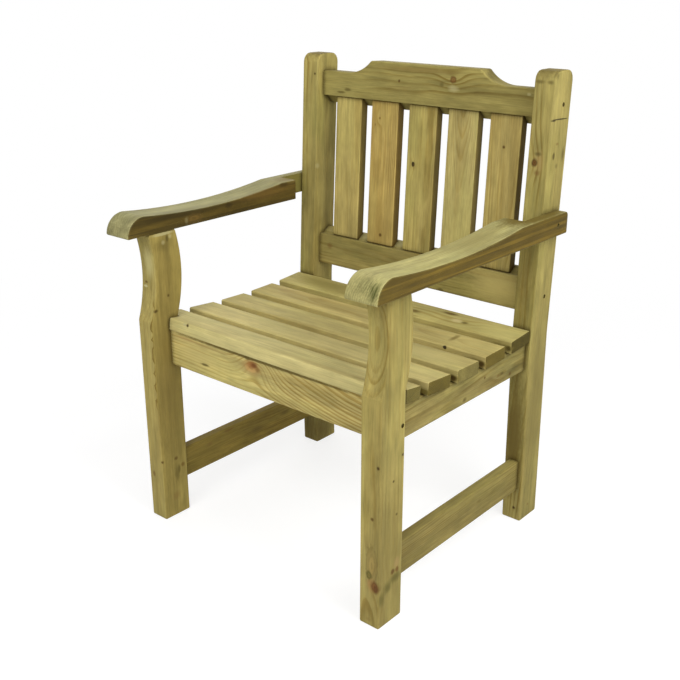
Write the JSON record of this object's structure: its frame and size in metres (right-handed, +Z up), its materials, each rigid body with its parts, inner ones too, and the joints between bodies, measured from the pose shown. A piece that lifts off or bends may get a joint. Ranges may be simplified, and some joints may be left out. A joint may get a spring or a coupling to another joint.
{
  "type": "garden armchair",
  "caption": "Fixed wooden garden armchair with flat arms, a dished slatted seat, a raked slatted back and a crest rail with a raised middle.",
  "frame": {"origin": "on the floor, under the middle of the chair's bounding box", "axes": "+Z up; the front of the chair faces -Y; +X is to the right of someone who stands facing the chair"},
  "size_m": [0.698, 0.6384, 0.975],
  "materials": {
    "leg_wood": "planed softwood, green pressure treatment, matt",
    "arm_wood": "planed softwood, green pressure treatment, matt, browner on the sides",
    "rail_wood": "planed softwood, green pressure treatment, matt",
    "seat_wood": "planed softwood, green pressure treatment, matt, paler",
    "back_wood": "planed softwood, green pressure treatment, matt",
    "screw_steel": "yellowed zinc plate, dull"
  },
  "bodies": {
    "root": {"front_leg_left": "leg_wood", "front_leg_right": "leg_wood", "rear_post_left": "leg_wood", "rear_post_right": "leg_wood", "arm_left": "arm_wood", "arm_right": "arm_wood", "front_seat_rail": "rail_wood", "rear_seat_rail": "rail_wood", "side_seat_rail_left": "rail_wood", "side_seat_rail_right": "rail_wood", "side_stretcher_left": "rail_wood", "side_stretcher_right": "rail_wood", "seat_slat_1": "seat_wood", "seat_slat_2": "seat_wood", "seat_slat_3": "seat_wood", "seat_slat_4": "seat_wood", "seat_slat_5": "seat_wood", "crest_rail": "back_wood", "lower_back_rail": "back_wood", "back_slat_1": "back_wood", "back_slat_2": "back_wood", "back_slat_3": "back_wood", "back_slat_4": "back_wood", "back_slat_5": "back_wood", "crest_screw_left": "screw_steel", "crest_screw_right": "screw_steel", "back_rail_screw_left": "screw_steel", "back_rail_screw_right": "screw_steel", "front_rail_screw_left": "screw_steel", "front_rail_screw_right": "screw_steel", "arm_screw_left": "screw_steel", "arm_screw_right": "screw_steel"}
  },
  "joints": []
}
